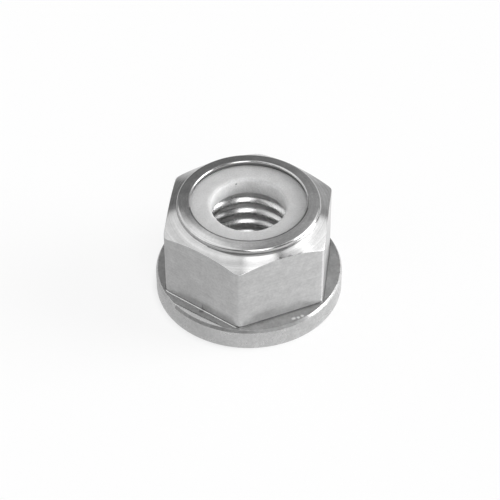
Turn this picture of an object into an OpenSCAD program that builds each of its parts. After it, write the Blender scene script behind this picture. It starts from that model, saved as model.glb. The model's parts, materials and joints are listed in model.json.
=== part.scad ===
// Self-locking nut: a hexagon nut with a round flange, and a nylon ring held under a rolled lip.
// Millimetres, +Z up, with the origin at the centre of the face that bears on the joint.

/* [Thread] */
// Nominal diameter of the thread
thread_d = 8; // [7:0.1:8.4]
// Pitch of the thread
thread_pitch = 1.25; // [0.75:0.05:1.5]
// How far the countersink at the bearing face opens beyond the nominal radius
entry_reach = 0.3; // [0.1:0.05:0.6]
// How far the countersink under the ring opens beyond the nominal radius
exit_reach = 0.1; // [0:0.05:0.4]
// Slope of both countersinks, in degrees from the end face
countersink_angle = 45; // [30:1:60]

/* [Hexagon] */
// Width across the flats
hex_af = 13; // [12.6:0.1:16]
// Height of the hexagon, from the flange to the collar
hex_h = 6.65; // [5:0.01:10]
// How much turning took off each corner, along the radius
corner_trim = 0.08; // [0.02:0.01:0.3]
// Slope of the chamfer between the corners and the collar, in degrees
chamfer_angle = 27.5; // [15:0.5:40]
// Fillet that the milling cutter leaves at the foot of each flat
mill_fillet = 0.15; // [0.05:0.01:0.3]

/* [Flange] */
// Thickness of the flange
flange_h = 2; // [1:0.1:3]
// How far the flange stands out beyond the corners
flange_reach = 0.33; // [0.3:0.01:3]
// Width of the steep bevel on the flange's upper edge
flange_bevel = 0.14; // [0.05:0.01:0.25]
// Height of that bevel
flange_bevel_h = 0.3; // [0.1:0.01:0.5]
// Rounding of the flange's lower edge
flange_break = 0.1; // [0.05:0.05:0.35]

/* [Collar] */
// How far the collar stands in from the flats
collar_inset = 0.65; // [0.3:0.01:0.8]
// Height of the collar above the chamfer
collar_h = 0.62; // [0.5:0.01:1.5]
// Thickness of the collar's wall around the ring
collar_wall = 0.6; // [0.4:0.05:0.8]
// Rounding of the collar's outer edge
collar_round = 0.12; // [0.05:0.01:0.2]
// Fillet at the collar's foot
collar_fillet = 0.15; // [0.05:0.01:0.25]
// Thickness of the lip that is rolled over the ring
lip_t = 0.5; // [0.4:0.05:1]
// How far the lip reaches in over the ring
lip_cover = 0.53; // [0.3:0.01:0.9]
// How far the collar's top falls from the lip's inner edge to the collar's outer edge
lip_fall = 0.2; // [0.05:0.01:0.25]
// Rounding of the lip's inner edge
lip_round = 0.12; // [0.05:0.01:0.25]
// Radius inside the bend of the lip
lip_bend = 0.15; // [0.05:0.01:0.2]

/* [Locking ring] */
// Thickness of the ring
ring_t = 1.65; // [0.9:0.05:2.5]
// Diameter of the ring's hole, smaller than the bolt so that the nylon grips it
ring_bore_d = 6.1; // [5:0.05:7]
// Rounding of the hole's edges
ring_bore_round = 0.3; // [0.05:0.05:0.4]
// Rounding of the ring's outer edges
ring_edge_round = 0.2; // [0.2:0.01:0.4]
// Clearance around the ring in its pocket
ring_clearance = 0.02; // [0.01:0.01:0.1]

/* [Hidden] */
$fn = 96;
// How far a cut runs past the surface that it opens
overrun = 0.5;
flat_count = 6;

// Levels
hex_top = flange_h + hex_h;
total_h = hex_top + collar_h;
pocket_top = total_h - lip_t;
pocket_floor = pocket_top - ring_t;

// Radii
flat_r = hex_af / 2;
corner_r = flat_r / cos(180 / flat_count) - corner_trim;
flange_r = corner_r + flange_reach;
collar_r = flat_r - collar_inset;
pocket_r = collar_r - collar_wall;
lip_r = pocket_r - lip_cover;
ring_r = pocket_r - ring_clearance;
ring_bore_r = ring_bore_d / 2;
// The nut's minor radius lies five eighths of the thread triangle's height inside the nominal one
thread_triangle = thread_pitch * cos(30);
minor_r = thread_d / 2 - thread_triangle * 5 / 8;
entry_r = thread_d / 2 + entry_reach;
exit_r = thread_d / 2 + exit_reach;

// Slopes
entry_h = (entry_r - minor_r) * tan(countersink_angle);
exit_h = (exit_r - minor_r) * tan(countersink_angle);
corner_top = hex_top - (corner_r - collar_r) * tan(chamfer_angle);
collar_edge = total_h - lip_fall;
lip_slope = atan(lip_fall / (collar_r - lip_r));

// What rounding takes off a convex corner at (r, z) that points towards (out_r, out_z)
module corner_waste(r, z, size, out_r, out_z) {
    side = size + overrun;
    difference() {
        translate([out_r > 0 ? r - size : r - overrun, out_z > 0 ? z - size : z - overrun])
            square(side);
        translate([r - out_r * size, z - out_z * size])
            circle(size);
    }
}

// What rounding takes off the edge at (r, z) between an upright wall, which faces along out,
// and a top that rises inwards by slope
module top_waste(r, z, size, slope, out) {
    centre = [r - out * size, z - size * (1 - out * sin(slope)) / cos(slope)];
    reach = size + overrun;
    difference() {
        polygon([
            centre,
            [r + out * overrun, centre.y],
            [r + out * overrun, centre.y + reach],
            centre + reach * [sin(slope), cos(slope)],
        ]);
        translate(centre)
            circle(size);
    }
}

// Fillet between an upright wall at x and a floor that leaves it at height z, rising by angle
module foot_fillet(x, z, angle, size) {
    centre_z = z + size * (tan(angle) + 1 / cos(angle));
    touch_x = x + size * (1 + sin(angle));
    touch_z = centre_z - size * cos(angle);
    difference() {
        polygon([
            [x - overrun, centre_z],
            [x - overrun, z - overrun],
            [touch_x, z - overrun],
            [touch_x, touch_z],
            [x, centre_z],
        ]);
        translate([x + size, centre_z])
            circle(size);
    }
}

module flange_profile() {
    difference() {
        polygon([
            [0, 0],
            [flange_r, 0],
            [flange_r, flange_h - flange_bevel_h],
            [flange_r - flange_bevel, flange_h],
            [0, flange_h],
        ]);
        corner_waste(flange_r, 0, flange_break, 1, -1);
    }
}

// Outline of the turned blank for the hexagon and the collar, rooted in the flange
module blank_profile() {
    difference() {
        polygon([
            [0, flange_h / 2],
            [corner_r, flange_h / 2],
            [corner_r, corner_top],
            [collar_r, hex_top],
            [collar_r, collar_edge],
            [lip_r, total_h],
            [0, total_h],
        ]);
        top_waste(collar_r, collar_edge, collar_round, lip_slope, 1);
    }
    foot_fillet(collar_r, hex_top, -chamfer_angle, collar_fillet);
}

// What the milling cutter takes away beside one flat, as a section across the flat
module mill_profile() {
    far = flange_r + overrun;
    difference() {
        translate([flat_r, flange_h])
            square([far - flat_r, total_h - flange_h]);
        foot_fillet(flat_r, flange_h, 0, mill_fillet);
    }
}

module milled_flats() {
    for (i = [0 : flat_count - 1])
        rotate([0, 0, (i + 0.5) * 360 / flat_count])
            rotate([90, 0, 0])
                linear_extrude(height = 2 * flange_r, center = true)
                    mill_profile();
}

// Threaded hole with its countersinks, the ring's pocket and the opening of the lip
module cavity_profile() {
    difference() {
        polygon([
            [0, -overrun],
            [entry_r, -overrun],
            [entry_r, 0],
            [minor_r, entry_h],
            [minor_r, pocket_floor - exit_h],
            [exit_r, pocket_floor],
            [pocket_r, pocket_floor],
            [pocket_r, pocket_top],
            [lip_r, pocket_top],
            [lip_r, total_h + overrun],
            [0, total_h + overrun],
        ]);
        difference() {
            corner_waste(pocket_r, pocket_top, lip_bend, 1, 1);
            translate([0, pocket_top])
                square([lip_r, lip_t + overrun]);
        }
    }
    top_waste(lip_r, total_h, lip_round, lip_slope, -1);
}

module ring_profile() {
    difference() {
        translate([ring_bore_r, pocket_floor])
            square([ring_r - ring_bore_r, ring_t]);
        corner_waste(ring_bore_r, pocket_top, ring_bore_round, -1, 1);
        corner_waste(ring_bore_r, pocket_floor, ring_bore_round, -1, -1);
        corner_waste(ring_r, pocket_top, ring_edge_round, 1, 1);
        corner_waste(ring_r, pocket_floor, ring_edge_round, 1, -1);
    }
}

// The metal nut: a turned blank with milled flats, drilled and bored, its lip rolled inwards
module nut_body() {
    color("silver")
        difference() {
            union() {
                rotate_extrude()
                    flange_profile();
                difference() {
                    rotate_extrude()
                        blank_profile();
                    milled_flats();
                }
            }
            rotate_extrude()
                cavity_profile();
        }
}

// The nylon ring, between the pocket's floor and the lip
module locking_ring() {
    color("whitesmoke")
        rotate_extrude()
            ring_profile();
}

nut_body();
locking_ring();
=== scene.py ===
# Looks of the self-locking nut: its metal body with the thread, and the nylon ring under the lip.

import json
import math
from collections import namedtuple

import bmesh
import bpy
import numpy as np
from mathutils import Matrix, Vector


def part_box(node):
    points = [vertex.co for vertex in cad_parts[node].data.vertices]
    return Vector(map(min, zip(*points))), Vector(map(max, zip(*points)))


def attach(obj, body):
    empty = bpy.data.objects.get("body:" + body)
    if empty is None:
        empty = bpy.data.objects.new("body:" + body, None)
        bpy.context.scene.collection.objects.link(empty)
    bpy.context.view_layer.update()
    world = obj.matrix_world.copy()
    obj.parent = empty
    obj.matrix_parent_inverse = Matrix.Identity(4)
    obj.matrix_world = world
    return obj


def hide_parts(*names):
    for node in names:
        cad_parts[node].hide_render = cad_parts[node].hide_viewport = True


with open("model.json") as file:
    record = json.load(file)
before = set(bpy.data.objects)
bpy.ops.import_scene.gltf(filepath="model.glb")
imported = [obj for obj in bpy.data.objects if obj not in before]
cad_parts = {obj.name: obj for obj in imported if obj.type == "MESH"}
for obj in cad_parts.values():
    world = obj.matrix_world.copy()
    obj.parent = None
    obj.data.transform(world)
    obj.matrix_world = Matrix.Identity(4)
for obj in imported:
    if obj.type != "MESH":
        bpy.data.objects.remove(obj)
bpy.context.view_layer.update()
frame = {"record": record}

# Sizes in millimetres: those that the frame holds are read from it, and the others are as the solids
# have them, apart from a few fillets, roundings and slopes that follow the photo
MM = 0.001
mounts = {mount["name"]: mount for mount in frame["record"]["mounts"]}
nut_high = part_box("nut_body")[1] / MM
ring_low, ring_high = [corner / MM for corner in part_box("locking_ring")]

pocket_top = ring_high.z
pocket_floor = ring_low.z

flange_r = nut_high.x
flange_h = 2.0
flange_bevel = 0.14
flange_bevel_h = 0.3
flange_break = 0.1
# Roundings below and above the bevel
rim_round = 0.15
bevel_round = 0.015
# Angles in degrees between which the flange's upper edge takes the strip's rough finish, whose darker tone
# there is painted shade
edge_shade = (195, 284)
# Outer edge of the flange's top, less a hair that keeps the section's points apart
point_gap = 0.02
top_r = flange_r - flange_bevel - point_gap

flat_count = 6
flat_sector = 2 * math.pi / flat_count
flat_r = -mounts["spanner_flat_front"]["pos_m"][1] / MM
corner_trim = 0.08
corner_r = flat_r / math.cos(math.pi / flat_count) - corner_trim
corner_blend = 0.2
# The fillet's rounding is a hair smaller than its reach, so that the section's points stay apart
mill_fillet = 0.08
mill_round = 0.98 * mill_fillet
# Beside each flat the cutter leaves a strip on the flange: its depth, the width of the step at its edge,
# its least width, and for each flat its width and how far it is askew in degrees
strip_depth = 0.04
strip_step = 0.02
strip_least = 0.15
strip_widths = (0.8, 1.2, 1.2, 0.68, 1.2, 1.2)
strip_skews = (1.0, 0.0, 0.0, 2.0, 0.0, 0.0)
# Painted shade: a dark line above the foot of each flat, and the one flat whose foot fillet keeps its bright
# rim finish instead of painted shade
foot_shade_line = 0.08
unshaded_foot = 3
# A painted highlight: the one upright corner that is bright, at this angle and over this width either side
highlight_corner = math.radians(300)
highlight_width = math.radians(1.2)
chamfer_angle = math.radians(27.5)
chamfer_break = 0.06

collar_inset = 0.65
collar_r = flat_r - collar_inset
collar_h = 0.62
collar_round = 0.2
# How far below the collar's outer edge its rounding can begin
collar_reach = 1.3 * collar_round
collar_fillet = 0.06
# The collar's foot has painted shade in front, a dark band: width of that band on the chamfer, the least width
# that keeps the section's points apart, and the angles in degrees over which the band comes and goes, with its
# share there
dark_band = 0.12
least_band = 0.04
dark_angles = (212, 236, 272, 302)
dark_shares = (0, 0.97, 0.97, 0)

collar_wall = 0.6
pocket_r = collar_r - collar_wall
lip_cover = 0.53
lip_r = pocket_r - lip_cover
lip_round = 0.12
# How far from the lip's inner edge its rounding can end
lip_reach = 1.6 * lip_round
# Angles in degrees between which the lip's inner edge has painted shade
lip_shade = (165, 325)
lip_bend = 0.15
# The rolled lip is crowned, lower at its outer edge, and its inner face leans back under it
lip_fall = 0.2
lip_slope = math.atan(lip_fall / (collar_r - lip_r))
crown_rise = 0.015
crown_radius = 10.0
lip_undercut = 0.1
# Height of the lip's inner edge before its rounding
total_h = nut_high.z + lip_round * ((1 + math.sin(lip_slope)) / math.cos(lip_slope) - 1)
hex_top = total_h - collar_h

thread_r = 4.0
thread_pitch = 1.25
# The tap leaves each ridge broadly rounded above, with a sharp edge below
ridge_rounding = 0.45
root_rounding = 0.05
edge_rounding = 0.05
minor_r = mounts["bolt_thread"]["dims"]["r_mm"]
entry_reach = 0.3
entry_r = thread_r + entry_reach
entry_blend = 0.04
exit_reach = 0.1
exit_r = thread_r + exit_reach
exit_blend = 0.15
exit_slope = math.tan(math.radians(36))
# Where one turn of the thread's crest lies: its height at an angle around the axis
crest_z = 5.95
crest_angle = math.radians(66.7)
# The roots and undersides are rougher, and darker with painted shade: shares of the pitch, upwards from the
# crest, between which it keeps the bright finish
thread_lit = (-0.1, 0.36)

ring_r = ring_high.x
ring_bore_r = mounts["locking_bore"]["dims"]["r_mm"]
ring_bore_round = 0.3
ring_edge_round = 0.2

# Small marks on the metal and the nylon: middle, half size along each axis, and how the tone changes inside;
# the last three metal marks are painted glints
marks_and_glints = (
    ((-5.61, -3.38, 2.32), (0.08, 0.08, 0.36), 0.5),
    ((-5.75, -3.43, 1.98), (0.2, 0.2, 0.12), 0.6),
    ((-3.75, -6.35, 2.02), (0.2, 0.2, 0.15), 0.55),
    ((-0.05, -6.4, 8.38), (0.12, 0.12, 0.12), 0.5),
    ((0.75, -6.45, 8.32), (0.2, 0.14, 0.06), 0.7),
    ((1.7, -6.45, 8.25), (0.3, 0.14, 0.05), 0.75),
    # Painted glints of small burrs near the flange's edge
    ((0.8, -7.21, 1.96), (0.2, 0.17, 0.1), 2.15),
    ((1.2, -7.26, 1.96), (0.15, 0.15, 0.1), 2.15),
    ((1.56, -7.22, 1.96), (0.15, 0.15, 0.1), 2.15),
)
nylon_mark = ((0.2, 3.04, 8.4), (0.1, 0.1, 0.1), 0.4)

# The photo's camera, in degrees around the part, above the floor and about its own axis
camera_azimuth = -23.34
camera_height = 43.17
camera_roll = -0.29
camera_distance = 155.4
camera_lens = 135.64
aim_z = 4.55
aim_pixel_x = 248.89
aim_pixel_y = 242.16
image_side = 500
sensor_width = 36

# How bright the room is outside its light areas, with white as 1
room_glow = 0.17
# The light areas: side and height of the middle, the angles from it within which the area is full and
# beyond which it is gone, all in degrees, and how bright it is
light_areas = (
    (-95, 45, 39, 44, 0.69),
    (-75, 30, 10, 22, 0.34),
    (-160, 62, 8, 15, 0.34),
    (90, 11, 13, 26, 4.73),
    (92, 26, 12, 22, 4.3),
    (120, 43, 13, 22, 1.03),
    (104, 61, 7, 12, 0.77),
    (162, 48, 8, 24, 0.17),
    (18, 27, 12, 16, 1.89),
    (16, 42, 12, 16, 1.55),
    (16, 57, 11, 15, 1.89),
    (45, 79, 9, 13, 1.29),
    (150, 6, 12, 30, 0.26),
)


# Curves of a section, as rows of (r, z)

def arc(r, z, radius, start, end, steps):
    """Points on a circle about (r, z), from start to end in degrees."""
    angles = np.radians(np.linspace(start, end, steps + 1))
    return np.column_stack([r + radius * np.cos(angles), z + radius * np.sin(angles)])


def line(start, end, steps):
    return np.linspace(start, end, steps + 1)


def smooth_max(a, b, width):
    """The larger of two values, with the step between them rounded over a width."""
    share = np.clip(0.5 + 0.5 * (a - b) / width, 0, 1)
    return b + (a - b) * share + width * share * (1 - share)


def smooth_min(a, b, width):
    return -smooth_max(-a, -b, width)


# Metal body

def column_angles(steps_per_half_flat=24):
    """Angles around the axis, close together at the hexagon's corners and wide on its flats."""
    half = math.pi / flat_count
    steps = np.arange(steps_per_half_flat) / steps_per_half_flat
    rising = half * steps ** 2
    falling = 2 * half - half * (1 - steps) ** 2
    sector = np.concatenate([rising, falling])
    return np.concatenate([sector + 2 * half * i for i in range(flat_count)])


def hexagon_radius(angle):
    """Distance from the axis to the milled flat or the turned corner at an angle."""
    half = math.pi / flat_count
    from_flat = angle % (2 * half) - half
    return smooth_min(flat_r / np.cos(from_flat), np.full_like(angle, corner_r), corner_blend)


def strip_edge(angle, hex_r):
    """Radius at which the cutter's strip on the flange ends."""
    flat = int(angle // flat_sector)
    from_flat = angle - (flat + 0.5) * flat_sector - math.radians(strip_skews[flat])
    edge = (flat_r + strip_widths[flat]) / math.cos(from_flat)
    return min(max(edge, hex_r + strip_least), top_r)


Corner = namedtuple("Corner", "r z rounding finish steps")


def round_corners(corners, arc_steps=6):
    """Points along a chain of corners, and the finish of each stretch between two points.

    A corner's finish and steps also hold for the straight line that leads to it.
    """
    places = [np.array([corner.r, corner.z], float) for corner in corners]
    points = places[:1]
    finishes = []
    for i in range(1, len(corners)):
        corner = corners[i]
        bend = places[i][None]
        if corner.rounding:
            back = places[i - 1] - places[i]
            ahead = places[i + 1] - places[i]
            back /= np.linalg.norm(back)
            ahead /= np.linalg.norm(ahead)
            half = math.acos(np.clip(back @ ahead, -1, 1)) / 2
            middle = (back + ahead) / np.linalg.norm(back + ahead)
            centre = places[i] + middle * corner.rounding / math.sin(half)
            reach = corner.rounding / math.tan(half)
            start = places[i] + back * reach - centre
            end = places[i] + ahead * reach - centre
            turn = math.pi - 2 * half
            share = np.linspace(0, 1, arc_steps + 1)[:, None]
            bend = centre + (np.sin((1 - share) * turn) * start + np.sin(share * turn) * end) / math.sin(turn)
        points.extend(line(points[-1], bend[0], corner.steps)[1:])
        points.extend(bend[1:])
        finishes += [corner.finish] * (corner.steps + len(bend) - 1)
    return np.array(points), finishes


def body_section(angle, hex_r):
    """The body's section at one angle, from the countersink below round the outside to the pocket's floor."""
    edge_z = hex_top - (hex_r - collar_r) * math.tan(chamfer_angle)
    strip_z = flange_h - strip_depth
    strip_r = strip_edge(angle, hex_r)
    top_z = flange_h if strip_r < top_r else strip_z
    foot_r = hex_r + mill_fillet
    # Painted shade at the flats' feet, on the lip's inner edge and at the collar's foot in front
    foot = "rim" if int(angle // flat_sector) == unshaded_foot else "painted_shade"
    # A painted highlight on one upright corner
    flat = "pale" if abs(angle - highlight_corner) < highlight_width else "milled"
    degrees = math.degrees(angle)
    # Painted shade on the flange's upper edge between these angles
    edge = "strip" if edge_shade[0] < degrees < edge_shade[1] else "rim"
    dark_share = np.interp(degrees, dark_angles, dark_shares)
    lip = "painted_shade" if lip_shade[0] < degrees < lip_shade[1] else "rolled"
    band = "painted_shade" if dark_share > 0 else "rolled"
    band_r = collar_r + max(dark_band * dark_share, least_band)
    band_low = hex_top - (band_r - collar_r) * math.tan(chamfer_angle)
    shoulder_z = total_h - lip_fall
    wall_top = shoulder_z - collar_reach
    band_high = hex_top + max((wall_top - hex_top) * dark_share, least_band)
    crown_r = (lip_r + collar_r) / 2
    crown_z = total_h - lip_fall / 2 + crown_rise
    lip_edge_r = lip_r + lip_reach
    lip_edge_z = np.interp(lip_edge_r, (lip_r, crown_r), (total_h, crown_z))
    return round_corners([
        Corner(entry_r, 0, 0, "turned", 0),
        Corner(flange_r, 0, flange_break, "turned", 8),
        Corner(flange_r, flange_h - flange_bevel_h, rim_round, "rim", 5),
        Corner(flange_r - flange_bevel, top_z, bevel_round, edge, 3),
        Corner(strip_r, top_z, 0, "rim", 3),
        Corner(strip_r - strip_step, strip_z, 0, edge, 1),
        Corner(foot_r, strip_z, 0, "strip", 5),
        Corner(hex_r, strip_z, mill_round, foot, 1),
        Corner(hex_r, strip_z + mill_fillet + foot_shade_line, 0, "painted_shade", 1),
        Corner(hex_r, edge_z, chamfer_break, flat, 12),
        Corner(band_r, band_low, 0, "turned", 10),
        Corner(collar_r, hex_top, collar_fillet, band, 1),
        Corner(collar_r, band_high, 0, band, 2),
        Corner(collar_r, wall_top, 0, "rolled", 1),
        Corner(collar_r, shoulder_z, collar_round, "rolled", 1),
        Corner(crown_r, crown_z, crown_radius, "rolled", 2),
        Corner(lip_edge_r, lip_edge_z, 0, "rolled", 2),
        Corner(lip_r, total_h, lip_round, lip, 1),
        Corner(lip_r + lip_undercut, pocket_top, 0, "painted_shade", 4),
        Corner(pocket_r, pocket_top, lip_bend, "pale", 2),
        Corner(pocket_r, pocket_floor, 0, "pale", 2),
        Corner(exit_r, pocket_floor, 0, "pale", 3),
    ])


def thread_radius(across, z):
    """Radius of the threaded hole with its countersinks, across is the distance from the crest's middle."""
    rise = math.tan(math.radians(60))
    flank = minor_r + (np.abs(across) - thread_pitch / 8) * rise
    bore = np.full_like(flank, minor_r)
    above = smooth_max(minor_r + (across - thread_pitch / 8) * rise, bore, ridge_rounding)
    below = smooth_max(flank, bore, edge_rounding)
    radius = np.where(across < thread_pitch / 8 - ridge_rounding / rise, below, above)
    radius = smooth_min(radius, np.full_like(flank, thread_r), root_rounding)
    entry = entry_r - z
    exit_cone = exit_r - (pocket_floor - z) * exit_slope
    return smooth_max(smooth_max(radius, entry, entry_blend), exit_cone, exit_blend)


def thread_rows(angles, per_turn=16):
    """Rows that run round with the thread, from the pocket's floor down to the bearing face.

    Each turn has the same stops, as shares of the pitch upwards from the crest.
    """
    stops = np.linspace(0.5, -0.5, per_turn, endpoint=False)
    lead = thread_pitch / (2 * math.pi)
    crest_at_zero = crest_z - lead * crest_angle
    turns_up = math.ceil((pocket_floor - crest_at_zero) / thread_pitch + 0.5)
    turns_down = math.ceil(crest_at_zero / thread_pitch + 1.5)
    turns = np.repeat(np.arange(turns_up, -turns_down - 1, -1), per_turn)
    across = np.tile(stops, turns_up + turns_down + 1) * thread_pitch
    z = crest_at_zero + turns * thread_pitch + across + lead * angles[:, None]
    z = np.clip(z, 0, pocket_floor)
    radius = thread_radius(np.broadcast_to(across, z.shape), z)
    return np.stack([radius, z], axis=-1), stops


def grid_faces(columns, rows, offset, stride, shift=0):
    """Quads between neighbouring columns of a grid that closes on itself, 'shift' rows higher at the seam."""
    faces = []
    for i in range(columns):
        following = (i + 1) % columns
        drop = shift if following == 0 else 0
        for j in range(rows - 1):
            near = offset + i * stride + j
            far = [offset + following * stride + max(j + k - drop, 0) for k in (0, 1)]
            faces.append((near, far[0], far[1], near + 1))
    return faces


def make_object(name, points, faces, materials, indices):
    """A smooth closed mesh, in metres, from points in millimetres."""
    mesh = bpy.data.meshes.new(name)
    mesh.from_pydata((points * MM).tolist(), [], faces)
    for material in materials:
        mesh.materials.append(material)
    mesh.polygons.foreach_set("material_index", indices)
    shape = bmesh.new()
    shape.from_mesh(mesh)
    bmesh.ops.remove_doubles(shape, verts=shape.verts, dist=1e-4 * MM)
    bmesh.ops.dissolve_degenerate(shape, edges=shape.edges, dist=1e-5 * MM)
    bmesh.ops.recalc_face_normals(shape, faces=shape.faces)
    for face in shape.faces:
        face.smooth = True
    shape.to_mesh(mesh)
    shape.free()
    piece = bpy.data.objects.new(name, mesh)
    bpy.context.scene.collection.objects.link(piece)
    normals = piece.modifiers.new("normals", "WEIGHTED_NORMAL")
    normals.weight = 50
    return piece


def around_axis(section, angles):
    """Turns rows of (r, z), one row of points for each angle, into points in space."""
    r = section[..., 0]
    x = r * np.cos(angles)[:, None]
    y = r * np.sin(angles)[:, None]
    return np.stack([x, y, section[..., 1]], axis=-1).reshape(-1, 3)


def make_body(materials):
    angles = column_angles()
    sections = []
    finishes = []
    for angle, hex_r in zip(angles, hexagon_radius(angles)):
        section, section_finishes = body_section(angle, hex_r)
        sections.append(section)
        finishes += section_finishes
    outside = np.array(sections)
    thread, stops = thread_rows(angles)
    per_turn = len(stops)
    columns = len(angles)
    outside_rows = outside.shape[1]
    thread_count = thread.shape[1]
    points = np.concatenate([around_axis(outside, angles), around_axis(thread, angles)])
    faces = grid_faces(columns, outside_rows, 0, outside_rows)
    faces += grid_faces(columns, thread_count, columns * outside_rows, thread_count, per_turn)
    names = list(materials)
    indices = [names.index(finish) for finish in finishes]
    turn = []
    for stop in stops:
        lit = thread_lit[0] < stop <= thread_lit[1]
        turn.append(names.index("thread" if lit else "groove"))
    column = (turn * (thread_count // per_turn))[:thread_count - 1]
    indices += column * columns
    return make_object("nut_metal_body", points, faces, materials.values(), indices)


# Nylon ring

def make_ring(material, columns=192):
    angles = np.arange(columns) * 2 * math.pi / columns
    bore = ring_bore_r + ring_bore_round
    rim = ring_r - ring_edge_round
    low = pocket_floor
    high = pocket_top
    section = np.concatenate([
        arc(bore, low + ring_bore_round, ring_bore_round, 270, 180, 7),
        arc(bore, high - ring_bore_round, ring_bore_round, 180, 90, 7),
        line((bore, high), (rim, high), 8)[1:-1],
        arc(rim, high - ring_edge_round, ring_edge_round, 90, 0, 5),
        arc(rim, low + ring_edge_round, ring_edge_round, 0, -90, 5),
    ])
    rows = len(section)
    points = around_axis(np.broadcast_to(section, (columns, rows, 2)), angles)
    faces = []
    for i in range(columns):
        following = (i + 1) % columns
        for j in range(rows):
            after = (j + 1) % rows
            faces.append((i * rows + j, following * rows + j, following * rows + after, i * rows + after))
    return make_object("nylon_locking_ring", points, faces, [material], [0] * len(faces))


# Materials

def add_node(tree, kind, inputs=None, **settings):
    """A node with its settings, each input either a value or the socket that feeds it."""
    node = tree.nodes.new(kind)
    for key, value in settings.items():
        setattr(node, key, value)
    for key, value in (inputs or {}).items():
        if isinstance(value, bpy.types.NodeSocket):
            tree.links.new(value, node.inputs[key])
        else:
            node.inputs[key].default_value = value
    return node


def new_material(name):
    material = bpy.data.materials.new(name)
    material.use_nodes = True
    tree = material.node_tree
    return material, tree, tree.nodes["Principled BSDF"]


def grey(value):
    return (value, value, value, 1)


def millimetres(tree, scale=(1, 1, 1)):
    """Coordinates on the part in millimetres, each axis stretched by its own scale."""
    place = add_node(tree, "ShaderNodeTexCoord")
    mapping = add_node(tree, "ShaderNodeMapping", {
        "Vector": place.outputs["Object"],
        "Scale": [value / MM for value in scale],
    })
    return mapping.outputs["Vector"]


def axis_distance(tree):
    """Distance from the part's axis in millimetres."""
    flat = add_node(tree, "ShaderNodeVectorMath", {0: millimetres(tree), 1: (1, 1, 0)}, operation="MULTIPLY")
    length = add_node(tree, "ShaderNodeVectorMath", {0: flat.outputs["Vector"]}, operation="LENGTH")
    return length.outputs["Value"]


def round_lines(tree, scale):
    """Coordinates that change along the radius and the axis, and little around the part."""
    place = millimetres(tree)
    parts = add_node(tree, "ShaderNodeSeparateXYZ", {"Vector": place})
    joined = add_node(tree, "ShaderNodeCombineXYZ", {
        "X": axis_distance(tree),
        "Y": parts.outputs["Z"],
    })
    drift = add_node(tree, "ShaderNodeVectorMath", {0: place, 1: (0.02, 0.02, 0)}, operation="MULTIPLY")
    total = add_node(tree, "ShaderNodeVectorMath", {
        0: joined.outputs["Vector"],
        1: drift.outputs["Vector"],
    })
    scaled = add_node(tree, "ShaderNodeVectorMath", {
        0: total.outputs["Vector"],
        "Scale": scale,
    }, operation="SCALE")
    return scaled.outputs["Vector"]


def noise(tree, vector, scale=1.0, detail=2.0, roughness=0.5):
    node = add_node(tree, "ShaderNodeTexNoise", {
        "Vector": vector,
        "Scale": scale,
        "Detail": detail,
        "Roughness": roughness,
    })
    return node.outputs["Fac"]


def spread(tree, value, low, high, start=0.3, end=0.7):
    """A value moved from the range between start and end into the one between low and high."""
    node = add_node(tree, "ShaderNodeMapRange", {
        "Value": value,
        "From Min": start,
        "From Max": end,
        "To Min": low,
        "To Max": high,
    })
    return node.outputs["Result"]


def multiply(tree, a, b):
    node = add_node(tree, "ShaderNodeMath", {0: a, 1: b}, operation="MULTIPLY")
    return node.outputs["Value"]


def mark(tree, middle, reach, inside):
    """A factor of 1 that changes to another value inside a small spot with the given half sizes."""
    scale = [1 / size for size in reach]
    centre = [place * size for place, size in zip(middle, scale)]
    distance = add_node(tree, "ShaderNodeVectorMath", {
        0: millimetres(tree, scale),
        1: centre,
    }, operation="DISTANCE")
    return spread(tree, distance.outputs["Value"], inside, 1.0, 0.5, 1.2)


def metal(name, lines, tone, line_share, grain_share, roughness, height, anisotropy=0.0):
    """Machined metal: tool lines and cloudy patches in its tone and gloss."""
    material, tree, shader = new_material(name)
    line_noise = noise(tree, lines(tree), 1.0, 3.0, 0.6)
    clouds = noise(tree, millimetres(tree), 0.9, 4.0, 0.6)
    grain = noise(tree, millimetres(tree), 5.0, 3.0, 0.6)
    line_tone = spread(tree, line_noise, 1 - line_share, 1 + line_share)
    cloud_tone = spread(tree, clouds, tone * 0.92, tone * 1.08)
    grain_tone = spread(tree, grain, 1 - grain_share, 1 + grain_share)
    colour = multiply(tree, multiply(tree, line_tone, cloud_tone), grain_tone)
    for middle, reach, inside in marks_and_glints:
        colour = multiply(tree, colour, mark(tree, middle, reach, inside))
    bump = add_node(tree, "ShaderNodeBump", {
        "Height": line_noise,
        "Distance": height * MM,
        "Strength": 1.0,
    })
    tree.links.new(colour, shader.inputs["Base Color"])
    tree.links.new(spread(tree, clouds, *roughness), shader.inputs["Roughness"])
    tree.links.new(bump.outputs["Normal"], shader.inputs["Normal"])
    shader.inputs["Metallic"].default_value = 1.0
    if anisotropy:
        tangent = add_node(tree, "ShaderNodeTangent", direction_type="RADIAL", axis="Z")
        tree.links.new(tangent.outputs["Tangent"], shader.inputs["Tangent"])
        shader.inputs["Anisotropic"].default_value = anisotropy
        shader.inputs["Anisotropic Rotation"].default_value = 0.25
    return material


def turned_metal():
    def lines(tree):
        return round_lines(tree, 3.5)
    return metal("turned_metal", lines, tone=0.72, line_share=0.16, grain_share=0.03,
                 roughness=(0.14, 0.2), height=0.001, anisotropy=0.2)


def rolled_metal():
    def lines(tree):
        return round_lines(tree, 3.5)
    return metal("rolled_metal", lines, tone=0.72, line_share=0.06, grain_share=0.06,
                 roughness=(0.15, 0.21), height=0.0008, anisotropy=0.2)


# Pale metal: on that upright corner a painted highlight, and the lining of the pocket under the lip
def pale_metal():
    def lines(tree):
        return round_lines(tree, 3.5)
    return metal("pale_metal", lines, tone=0.95, line_share=0.04, grain_share=0.03,
                 roughness=(0.2, 0.28), height=0.0004)


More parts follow.
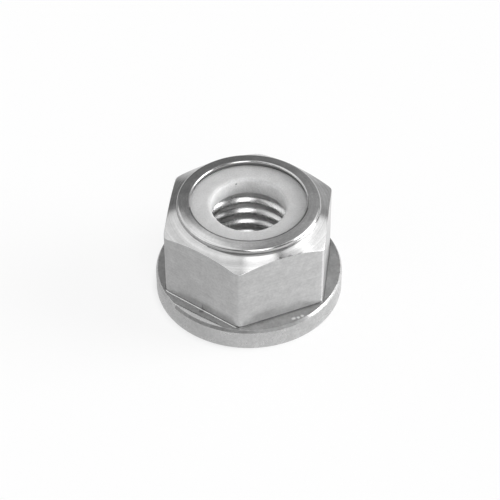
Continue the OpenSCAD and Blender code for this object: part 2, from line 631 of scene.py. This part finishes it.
def rim_metal():
    def lines(tree):
        return round_lines(tree, 2.5)
    return metal("rim_metal", lines, tone=0.71, line_share=0.03, grain_share=0.08,
                 roughness=(0.22, 0.3), height=0.0006)


def milled_metal():
    def lines(tree):
        return millimetres(tree, (0.3, 0.3, 7.0))
    return metal("milled_metal", lines, tone=0.71, line_share=0.05, grain_share=0.08,
                 roughness=(0.28, 0.36), height=0.0005)


def strip_metal():
    def lines(tree):
        return millimetres(tree, (3.0, 3.0, 3.0))
    return metal("strip_metal", lines, tone=0.42, line_share=0.1, grain_share=0.08,
                 roughness=(0.45, 0.6), height=0.002)


# Dark metal that is painted shade: in front at the collar's foot, at the flats' feet, along the lip's inner
# edge and under its undercut
def painted_shade_metal():
    def lines(tree):
        return round_lines(tree, 4.0)
    return metal("painted_shade_metal", lines, tone=0.28, line_share=0.05, grain_share=0.05,
                 roughness=(0.3, 0.36), height=0.0006)


def thread_metal():
    def lines(tree):
        return round_lines(tree, 4.0)
    return metal("thread_metal", lines, tone=0.72, line_share=0.05, grain_share=0.05,
                 roughness=(0.22, 0.3), height=0.0006)


# Rougher metal for the thread's roots and undersides, its darker tone painted shade in the grooves
def groove_metal():
    def lines(tree):
        return round_lines(tree, 4.0)
    return metal("groove_metal", lines, tone=0.65, line_share=0.05, grain_share=0.05,
                 roughness=(0.6, 0.7), height=0.0006)


def nylon():
    material, tree, shader = new_material("nylon")
    place = millimetres(tree)
    clouds = noise(tree, place, 1.1, 3.0, 0.55)
    grain = noise(tree, place, 9.0, 2.0, 0.5)
    bump = add_node(tree, "ShaderNodeBump", {"Height": grain, "Distance": 0.002 * MM, "Strength": 1.0})
    # Painted light: the bore's wall is lighter, standing in for light that comes through the nylon
    bore_light = spread(tree, axis_distance(tree), 1.4, 1.0, ring_bore_r, ring_bore_r + 0.1)
    colour = multiply(tree, spread(tree, clouds, 0.55, 0.61), spread(tree, grain, 0.88, 1.12))
    colour = multiply(tree, multiply(tree, colour, bore_light), mark(tree, *nylon_mark))
    tree.links.new(colour, shader.inputs["Base Color"])
    tree.links.new(spread(tree, grain, 0.36, 0.5), shader.inputs["Roughness"])
    tree.links.new(bump.outputs["Normal"], shader.inputs["Normal"])
    shader.inputs["Subsurface Weight"].default_value = 1.0
    shader.inputs["Subsurface Radius"].default_value = (1, 1, 1)
    shader.inputs["Subsurface Scale"].default_value = 1.0 * MM
    return material


# Stage: floor, light and camera

def direction(side, height):
    """Direction from the part: side in degrees from the camera round to the right, height above the floor."""
    turn = math.radians(camera_azimuth + side)
    rise = math.radians(height)
    flat = math.cos(rise)
    return Vector((math.sin(turn) * flat, -math.cos(turn) * flat, math.sin(rise)))


def make_floor(half=1500):
    """A white floor that keeps the part's shadow; in reflections its glow is painted light, brighter on the
    right and close by.
    """
    corners = np.array([(-half, -half, 0), (half, -half, 0), (half, half, 0), (-half, half, 0)], float)
    mesh = bpy.data.meshes.new("floor")
    mesh.from_pydata((corners * MM).tolist(), [], [(0, 1, 2, 3)])
    floor = bpy.data.objects.new("floor", mesh)
    bpy.context.scene.collection.objects.link(floor)
    material = bpy.data.materials.new("white_floor")
    material.use_nodes = True
    tree = material.node_tree
    tree.nodes.clear()
    place = millimetres(tree)
    distance = add_node(tree, "ShaderNodeVectorMath", {0: place}, operation="LENGTH").outputs["Value"]
    # Painted light seen in reflections: the floor glows more towards the right and close by
    toward = add_node(tree, "ShaderNodeVectorMath", {0: place, 1: direction(120, 0)}, operation="DOT_PRODUCT")
    glow_side = spread(tree, toward.outputs["Value"], 0.43, 0.86, -12.0, 12.0)
    near = spread(tree, distance, 1.0, 0.5, 60.0, 160.0)
    # Under the part the floor doesn't glow
    outside = spread(tree, distance, 0.0, 1.0, flange_r - 1.5, flange_r + 0.5)
    path = add_node(tree, "ShaderNodeLightPath")
    to_camera = path.outputs["Is Camera Ray"]
    seen = add_node(tree, "ShaderNodeMath", {
        0: path.outputs["Is Glossy Ray"],
        1: path.outputs["Is Transmission Ray"],
    }, operation="MAXIMUM")
    seen = add_node(tree, "ShaderNodeMath", {
        0: multiply(tree, seen.outputs["Value"], 0.7),
        1: multiply(tree, to_camera, 0.82),
    }, operation="MAXIMUM")
    share = multiply(tree, seen.outputs["Value"], outside)
    glow = add_node(tree, "ShaderNodeMix", {
        "Factor": to_camera,
        "A": multiply(tree, near, glow_side),
        "B": 1.0,
    })
    paint = add_node(tree, "ShaderNodeBsdfDiffuse", {"Color": grey(0.9)})
    white = add_node(tree, "ShaderNodeEmission", {"Color": grey(1.0), "Strength": glow.outputs["Result"]})
    mix = add_node(tree, "ShaderNodeMixShader", {
        0: share,
        1: paint.outputs["BSDF"],
        2: white.outputs["Emission"],
    })
    add_node(tree, "ShaderNodeOutputMaterial", {"Surface": mix.outputs["Shader"]})
    mesh.materials.append(material)


def light_area(tree, look, side, height, inner, outer, glow):
    """Soft-edged bright area of the room, full inside one angle from its middle and gone beyond another."""
    toward = add_node(tree, "ShaderNodeVectorMath", {
        0: look,
        1: direction(side, height),
    }, operation="DOT_PRODUCT")
    area = add_node(tree, "ShaderNodeMapRange", {
        "Value": toward.outputs["Value"],
        "From Min": math.cos(math.radians(outer)),
        "From Max": math.cos(math.radians(inner)),
        "To Min": 0.0,
        "To Max": glow,
    }, interpolation_type="SMOOTHSTEP")
    return area.outputs["Result"]


def make_world():
    """A dim grey room with soft-edged light areas on the left, on the right, in front and overhead."""
    world = bpy.data.worlds.new("studio")
    world.use_nodes = True
    bpy.context.scene.world = world
    tree = world.node_tree
    tree.nodes.clear()
    look = add_node(tree, "ShaderNodeTexCoord").outputs["Generated"]
    total = room_glow
    for area in light_areas:
        glow = light_area(tree, look, *area)
        total = add_node(tree, "ShaderNodeMath", {0: glow, 1: total}, operation="ADD").outputs["Value"]
    sky = add_node(tree, "ShaderNodeBackground", {"Color": grey(1.0), "Strength": total})
    add_node(tree, "ShaderNodeOutputWorld", {"Surface": sky.outputs["Background"]})


def make_camera():
    data = bpy.data.cameras.new("camera")
    data.lens = camera_lens
    data.sensor_width = sensor_width
    data.shift_x = (image_side / 2 - aim_pixel_x) / image_side
    data.shift_y = (aim_pixel_y - image_side / 2) / image_side
    data.clip_start = 0.001
    camera = bpy.data.objects.new("camera", data)
    way = direction(0, camera_height)
    camera.location = Vector((0, 0, aim_z * MM)) + way * camera_distance * MM
    look = (-way).to_track_quat("-Z", "Y").to_matrix().to_4x4()
    roll = Matrix.Rotation(math.radians(camera_roll), 4, "Z")
    camera.rotation_euler = (look @ roll).to_euler()
    bpy.context.scene.collection.objects.link(camera)
    bpy.context.scene.camera = camera


make_camera()
body = make_body({
    "turned": turned_metal(),
    "rolled": rolled_metal(),
    "pale": pale_metal(),
    "rim": rim_metal(),
    "milled": milled_metal(),
    "strip": strip_metal(),
    "painted_shade": painted_shade_metal(),
    "thread": thread_metal(),
    "groove": groove_metal(),
})
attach(body, "root")
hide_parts("nut_body")

ring = make_ring(nylon())
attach(ring, "root")
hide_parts("locking_ring")

make_floor()
make_world()
bpy.context.scene.view_settings.view_transform = "Standard"
